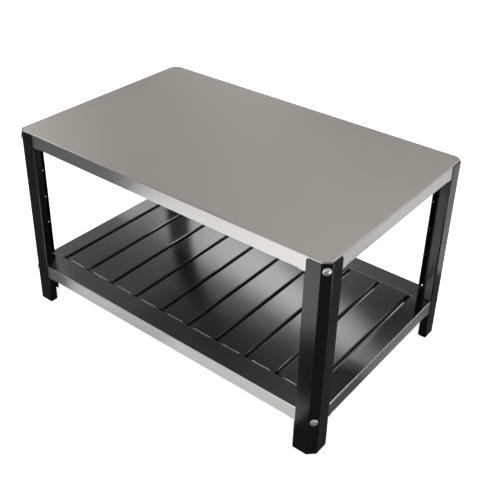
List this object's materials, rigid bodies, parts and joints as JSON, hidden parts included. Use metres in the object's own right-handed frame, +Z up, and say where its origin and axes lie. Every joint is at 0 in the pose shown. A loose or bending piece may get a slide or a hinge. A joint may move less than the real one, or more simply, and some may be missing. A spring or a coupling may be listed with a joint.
{
  "type": "hob stand",
  "caption": "Low outdoor cooking stand: flat folded steel top tray and slatted lower shelf bolted inside folded corner legs with drilled inner lips",
  "frame": {"origin": "centre of the footprint, on the floor", "axes": "+X along the long side, to the right seen from the front; +Y to the rear; +Z up"},
  "size_m": [1, 0.63, 0.553],
  "materials": {
    "top_panel": "fine bead-blasted or ground stainless sheet, matte, warm grey",
    "shelf_frame": "brushed stainless sheet, satin",
    "slats": "brushed stainless sheet, grain along each slat, half mirror at a low angle",
    "inner_steel": "plain mill-finish stainless sheet, out of sight",
    "legs": "black powder coat, fine satin texture",
    "bolts": "bright stainless",
    "washers_and_nuts": "plain stainless"
  },
  "bodies": {
    "root": {"top_panel": "top_panel", "stiffener_front": "inner_steel", "stiffener_rear": "inner_steel", "leg_front_left": "legs", "leg_front_right": "legs", "leg_rear_left": "legs", "leg_rear_right": "legs", "top_corner_front_left": "inner_steel", "top_corner_front_right": "inner_steel", "top_corner_rear_left": "inner_steel", "top_corner_rear_right": "inner_steel", "shelf_frame": "shelf_frame", "slat_rail_front": "inner_steel", "slat_rail_rear": "inner_steel", "slat_1": "slats", "slat_2": "slats", "slat_3": "slats", "slat_4": "slats", "slat_5": "slats", "slat_6": "slats", "slat_7": "slats", "slat_8": "slats", "slat_9": "slats", "shelf_corner_front_left": "inner_steel", "shelf_corner_front_right": "inner_steel", "shelf_corner_rear_left": "inner_steel", "shelf_corner_rear_right": "inner_steel", "top_bolts": "bolts", "shelf_bolts": "bolts", "top_washers": "washers_and_nuts", "shelf_washers": "washers_and_nuts", "top_nuts": "washers_and_nuts", "shelf_nuts": "washers_and_nuts"}
  },
  "joints": []
}
